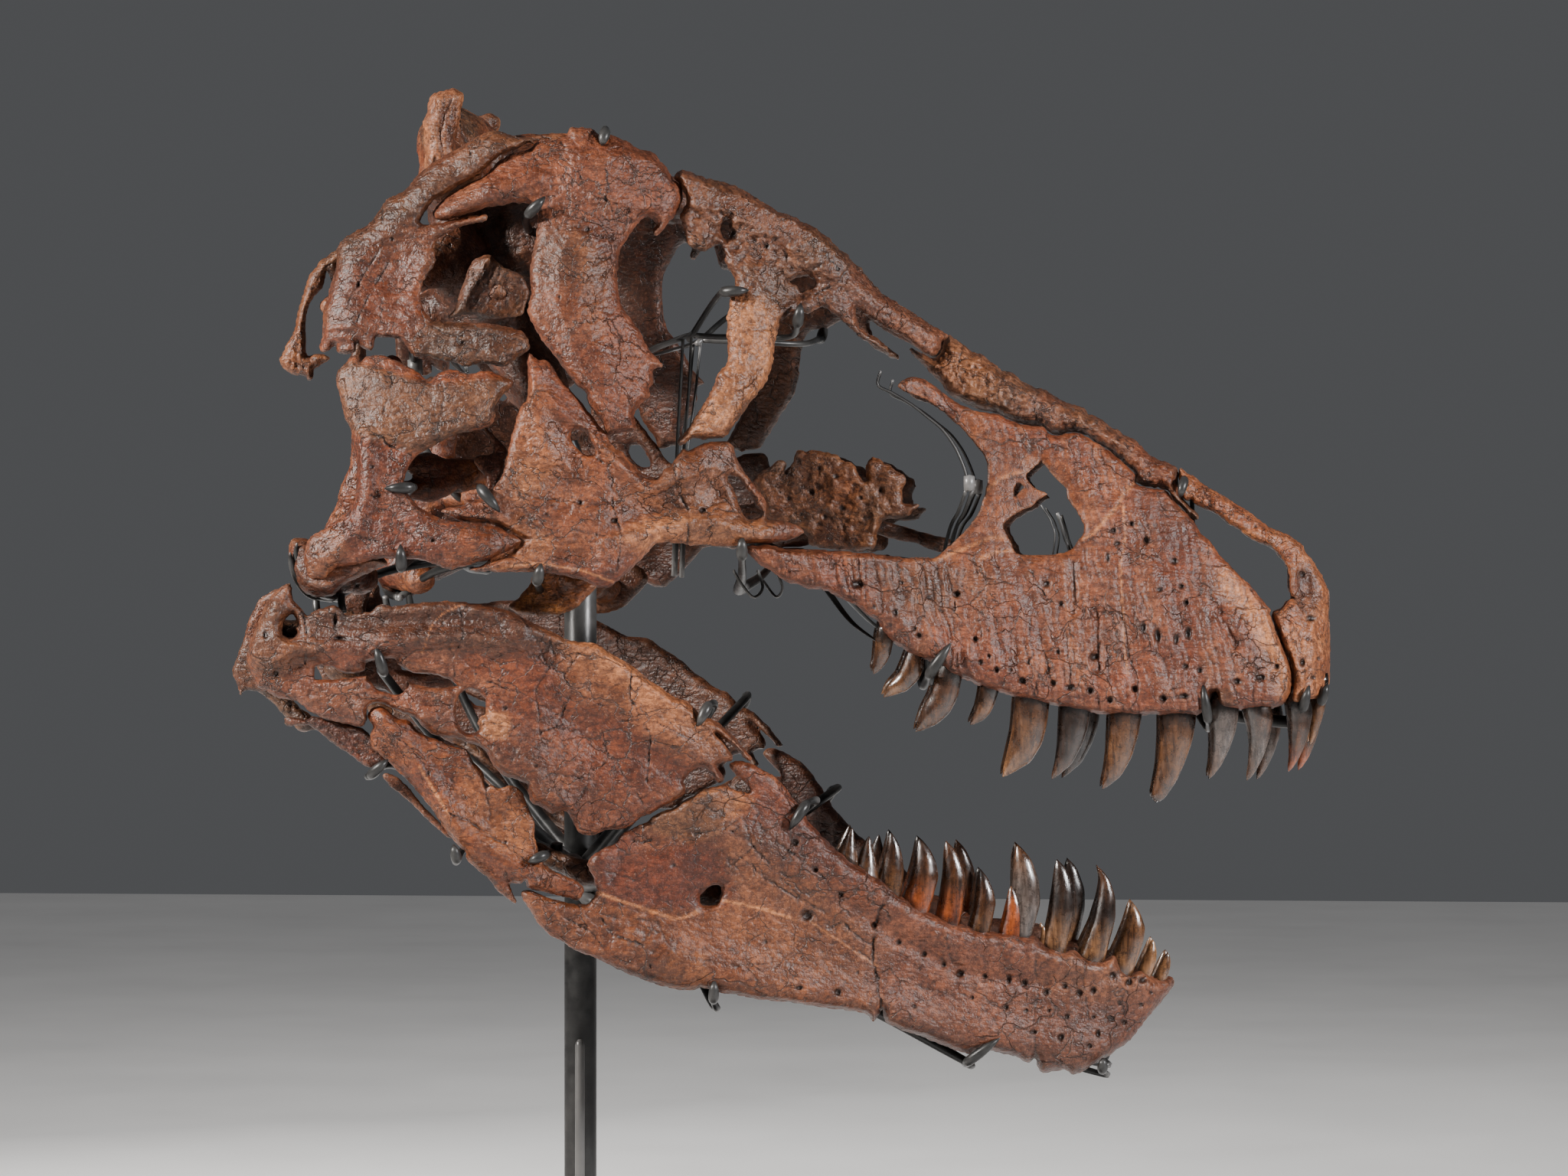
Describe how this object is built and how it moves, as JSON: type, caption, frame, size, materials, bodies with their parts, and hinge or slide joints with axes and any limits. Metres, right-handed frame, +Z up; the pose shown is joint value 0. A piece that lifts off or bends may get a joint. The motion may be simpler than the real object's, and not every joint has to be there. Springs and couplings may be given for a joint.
{
  "type": "tyrannosaurus skull fossil on museum stand",
  "caption": "Life-size fossil skull of a Tyrannosaurus rex with jaws open, held by a steel armature with claw clips on a post and base plate.",
  "frame": {"origin": "centre of the post's foot on the underside of the base plate, on the floor", "axes": "+X the way the snout points, +Y the animal's left, +Z up"},
  "size_m": [1.4271, 0.7344, 2.0093],
  "materials": {
    "fossil_bone": "matt mineralised bone, terracotta to grey-brown, cracked, pitted and grooved, with cream filler",
    "stand_steel": "black satin paint on steel, rubbed to bright metal on the tips of the clips"
  },
  "bodies": {
    "root": {"maxilla_right": "fossil_bone", "maxilla_left": "fossil_bone", "premaxilla_right": "fossil_bone", "premaxilla_left": "fossil_bone", "nasal_right": "fossil_bone", "nasal_left": "fossil_bone", "lacrimal_right": "fossil_bone", "lacrimal_left": "fossil_bone", "postorbital_right": "fossil_bone", "postorbital_left": "fossil_bone", "squamosal_right": "fossil_bone", "squamosal_left": "fossil_bone", "jugal_right": "fossil_bone", "jugal_left": "fossil_bone", "quadratojugal_right": "fossil_bone", "quadratojugal_left": "fossil_bone", "surangular_right": "fossil_bone", "surangular_left": "fossil_bone", "angular_right": "fossil_bone", "angular_left": "fossil_bone", "dentary_right": "fossil_bone", "dentary_left": "fossil_bone", "palatine_right": "fossil_bone", "palatine_left": "fossil_bone", "quadrate_right": "fossil_bone", "quadrate_left": "fossil_bone", "pterygoid_right": "fossil_bone", "pterygoid_left": "fossil_bone", "ectopterygoid_right": "fossil_bone", "ectopterygoid_left": "fossil_bone", "prearticular_right": "fossil_bone", "prearticular_left": "fossil_bone", "braincase": "fossil_bone", "vomer": "fossil_bone", "stand_armature": "stand_steel", "stand_base": "stand_steel", "stand_guide_rod": "stand_steel"}
  },
  "joints": []
}
